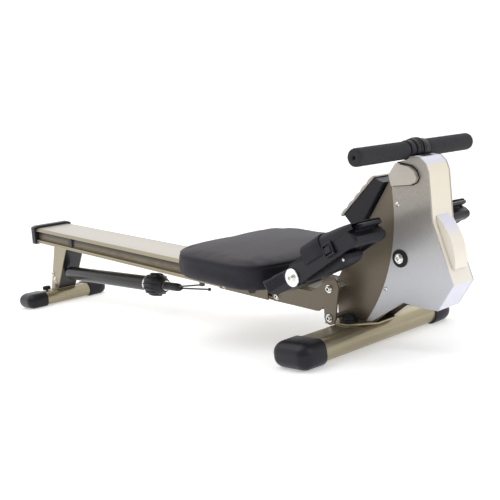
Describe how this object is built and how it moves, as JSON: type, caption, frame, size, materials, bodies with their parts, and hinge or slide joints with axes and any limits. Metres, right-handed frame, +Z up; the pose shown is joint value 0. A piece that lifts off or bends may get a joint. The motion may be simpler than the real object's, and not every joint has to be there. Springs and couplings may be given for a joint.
{
  "type": "rowing machine",
  "caption": "Folding rowing machine: inclined rail with a rolling padded seat, swinging foot plates, and a pull handle on a flywheel housing with a console.",
  "frame": {"origin": "centre of the footprint on the floor", "axes": "+X towards the flywheel end, +Y to the left of a rower who faces the flywheel, +Z up"},
  "size_m": [1.809, 0.506, 0.4445],
  "materials": {
    "gold": "champagne metallic paint, satin",
    "bronze": "bronze metallic paint, satin",
    "silver": "silver metallic moulding",
    "cream": "off-white moulding, satin",
    "black_plastic": "moulded, fine grain",
    "steel": "bright zinc plate",
    "dark_steel": "machined and oiled",
    "rubber": "moulded rubber",
    "foam": "closed-cell foam",
    "vinyl": "vinyl, fine grain",
    "webbing": "woven webbing",
    "rail_face": "anodised, brushed lengthwise",
    "black_metal": "satin powder coat",
    "screen": "display window"
  },
  "bodies": {
    "front_frame": {"base_plate": "gold", "front_foot_tube": "gold", "front_foot_caps": "black_plastic", "foot_bolts": "black_plastic", "hinge_ears": "gold", "hinge_bolts": "steel", "frame_plates": "bronze", "rear_spine": "bronze", "right_cover": "silver", "left_cover": "silver", "front_panel": "cream", "wheel_guard": "cream", "side_caps": "silver", "cover_screws": "steel", "main_axle": "steel", "axle_nuts": "steel", "inner_pins": "steel", "spring_drum": "dark_steel", "recoil_spring": "steel", "tension_cable": "rubber", "console_shell": "black_plastic", "console_bezel": "silver", "console_screen": "screen", "drive_belt": "rubber", "pedal_axle": "steel"},
    "rail": {"rail": "gold", "rail_top": "rail_face", "rail_caps": "black_plastic", "hinge_arms": "bronze", "rail_stops": "rubber", "rear_leg": "gold", "leg_panel": "black_metal", "rear_foot_tube": "gold", "rear_foot_caps": "black_plastic", "rear_bolts": "steel", "stay_tube": "black_metal", "stay_rods": "black_metal"},
    "seat": {"seat_pad": "vinyl", "seat_carriage": "bronze"},
    "front_rollers": {"front_rollers": "rubber"},
    "rear_rollers": {"rear_rollers": "rubber"},
    "flywheel": {"flywheel": "dark_steel", "wheel_bearings": "steel"},
    "drive_pulley": {"drive_pulley": "dark_steel"},
    "spool": {"strap_spool": "black_plastic"},
    "guide_roller": {"guide_roller": "steel"},
    "handle": {"handle_bar": "steel", "handle_grips": "foam", "handle_collars": "rubber", "pull_strap": "webbing"},
    "right_pedal": {"right_pedal": "black_plastic", "right_foot_strap": "webbing"},
    "left_pedal": {"left_pedal": "black_plastic", "left_foot_strap": "webbing"},
    "brake": {"brake_arm": "dark_steel", "brake_magnets": "steel"},
    "dial": {"tension_dial": "black_plastic"},
    "button": {"console_button": "rubber"},
    "stay_knob": {"stay_knob": "black_plastic"},
    "rear_knob": {"rear_knob": "black_plastic"}
  },
  "joints": [
    {"name": "rail_fold", "type": "hinge", "parent": "front_frame", "child": "rail", "pos_m": [0.606, 0, 0.137], "axis": [0, 1, 0], "range_deg": [0, 65]},
    {"name": "seat_slide", "type": "slide", "parent": "rail", "child": "seat", "axis": [-0.9945, 0, 0.1045], "range_m": [0, 0.86]},
    {"name": "front_rollers_spin", "type": "hinge", "parent": "seat", "child": "front_rollers", "pos_m": [0.38156, 0, 0.12279], "axis": [0, 1, 0], "continuous": true},
    {"name": "rear_rollers_spin", "type": "hinge", "parent": "seat", "child": "rear_rollers", "pos_m": [0.26221, 0, 0.13533], "axis": [0, 1, 0], "continuous": true},
    {"name": "wheel_spin", "type": "hinge", "parent": "front_frame", "child": "flywheel", "pos_m": [0.78, 0, 0.202], "axis": [0, 1, 0], "continuous": true},
    {"name": "drive_spin", "type": "hinge", "parent": "front_frame", "child": "drive_pulley", "pos_m": [0.812, 0, 0.35], "axis": [0, 1, 0], "continuous": true},
    {"name": "handle_pull", "type": "slide", "parent": "front_frame", "child": "handle", "axis": [1, 0, 0], "range_m": [-0.8, 0], "stiffness_N_per_m": 25, "deforming": ["pull_strap"]},
    {"name": "spool_spin", "type": "hinge", "parent": "front_frame", "child": "spool", "pos_m": [0.812, 0, 0.35], "axis": [0, 1, 0], "continuous": true},
    {"name": "guide_roller_spin", "type": "hinge", "parent": "front_frame", "child": "guide_roller", "pos_m": [0.829, 0, 0.395], "axis": [0, 1, 0], "continuous": true},
    {"name": "right_pedal_swing", "type": "hinge", "parent": "front_frame", "child": "right_pedal", "pos_m": [0.614, 0, 0.185], "axis": [0, 1, 0], "range_deg": [-35, 25]},
    {"name": "left_pedal_swing", "type": "hinge", "parent": "front_frame", "child": "left_pedal", "pos_m": [0.614, 0, 0.185], "axis": [0, 1, 0], "range_deg": [-35, 25]},
    {"name": "dial_turn", "type": "hinge", "parent": "front_frame", "child": "dial", "pos_m": [0.649, 0, 0.226], "axis": [-0.766, 0, 0.6428], "range_deg": [0, 270]},
    {"name": "brake_swing", "type": "hinge", "parent": "front_frame", "child": "brake", "pos_m": [0.716, 0, 0.097], "axis": [0, -1, 0], "range_deg": [0, 5.4]},
    {"name": "button_press", "type": "slide", "parent": "front_frame", "child": "button", "axis": [0.6156, 0, -0.788], "range_m": [0, 0.0012], "stiffness_N_per_m": 400},
    {"name": "stay_knob_turn", "type": "hinge", "parent": "rail", "child": "stay_knob", "pos_m": [-0.757, -0.012, 0.11], "axis": [0.9996, 0, -0.0279], "range_deg": [0, 180]},
    {"name": "rear_knob_turn", "type": "hinge", "parent": "rail", "child": "rear_knob", "pos_m": [-0.859, -0.06, 0.05], "axis": [0, 0, 1], "range_deg": [0, 180]}
  ],
  "couplings": [
    {"joint": "front_rollers_spin", "follows": "seat_slide", "rad_per_m": 86.957},
    {"joint": "rear_rollers_spin", "follows": "seat_slide", "rad_per_m": 86.957},
    {"joint": "drive_spin", "follows": "wheel_spin", "ratio": 0.4667},
    {"joint": "spool_spin", "follows": "handle_pull", "rad_per_m": 45.455},
    {"joint": "guide_roller_spin", "follows": "handle_pull", "rad_per_m": 166.67},
    {"joint": "brake_swing", "follows": "dial_turn", "ratio": 0.02}
  ]
}
